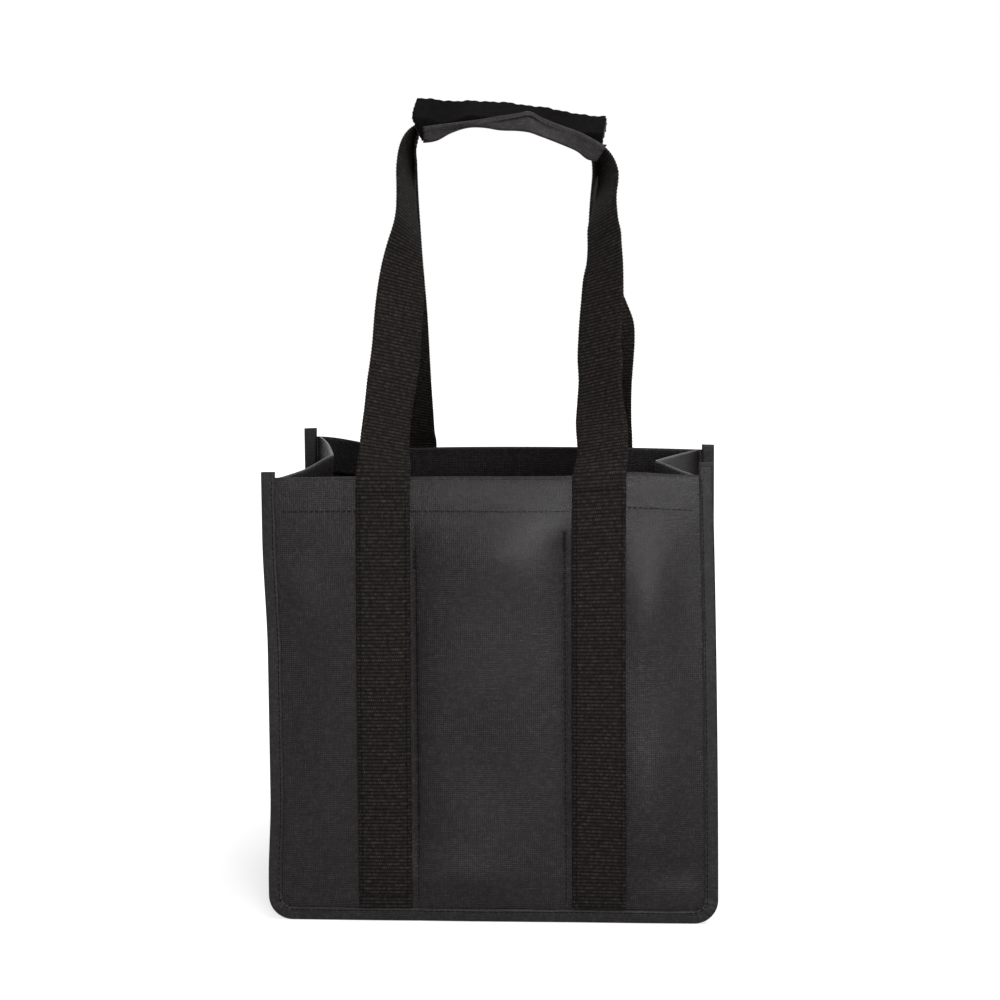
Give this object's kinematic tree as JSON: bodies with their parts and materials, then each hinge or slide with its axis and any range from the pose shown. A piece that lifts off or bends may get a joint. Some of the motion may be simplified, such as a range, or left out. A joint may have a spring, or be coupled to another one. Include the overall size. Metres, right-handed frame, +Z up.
{
  "type": "wine carrier bag",
  "caption": "Open-top bottle carrier bag of black nonwoven cloth with divided cells, webbing handles and a wrap that closes round the grip.",
  "frame": {"origin": "centre of the bag's footprint, on the surface that it stands on", "axes": "+Z up to the grip, -Y out of the front panel, +X to the right as seen from the front"},
  "size_m": [0.25, 0.1738, 0.4541],
  "materials": {
    "nonwoven": "black spunbond polypropylene nonwoven with a fine embossed grain",
    "binding": "black nonwoven binding tape, folded over the seam and stitched",
    "webbing": "black ribbed polypropylene webbing",
    "hook_tape": "black nylon hook tape",
    "loop_tape": "black nylon loop tape, matt and fuzzy",
    "board": "dark grey polypropylene sheet"
  },
  "bodies": {
    "bag": {"front_panel": "nonwoven", "back_panel": "nonwoven", "gusset_strip": "nonwoven", "long_divider": "nonwoven", "front_left_divider": "nonwoven", "front_right_divider": "nonwoven", "back_left_divider": "nonwoven", "back_right_divider": "nonwoven", "front_binding": "binding", "back_binding": "binding", "front_left_strap": "webbing", "front_right_strap": "webbing", "back_left_strap": "webbing", "back_right_strap": "webbing", "base_board": "board"},
    "front_handle": {"front_handle_loop": "webbing"},
    "back_handle": {"back_handle_loop": "webbing", "grip_wrap_base": "nonwoven"},
    "upper_flap": {"grip_upper_flap": "nonwoven", "loop_strip": "loop_tape"},
    "lower_flap": {"grip_lower_flap": "nonwoven", "hook_strip": "hook_tape"}
  },
  "joints": [
    {"name": "front_handle_swing", "type": "hinge", "parent": "bag", "child": "front_handle", "pos_m": [0, -0.0872, 0.246], "axis": [1, 0, 0], "range_deg": [0, 178]},
    {"name": "back_handle_swing", "type": "hinge", "parent": "bag", "child": "back_handle", "pos_m": [0, 0.0872, 0.246], "axis": [-1, 0, 0], "range_deg": [0, 178]},
    {"name": "upper_flap_opening", "type": "hinge", "parent": "back_handle", "child": "upper_flap", "pos_m": [0.00409, 0.01479, 0.44334], "axis": [-0.9962, 0, 0.0877], "range_deg": [0, 120], "deforming": ["grip_upper_flap", "loop_strip"]},
    {"name": "lower_flap_opening", "type": "hinge", "parent": "back_handle", "child": "lower_flap", "pos_m": [0.0038, -0.01221, 0.42958], "axis": [0.9962, 0, -0.0877], "range_deg": [0, 110], "deforming": ["grip_lower_flap", "hook_strip"]}
  ]
}
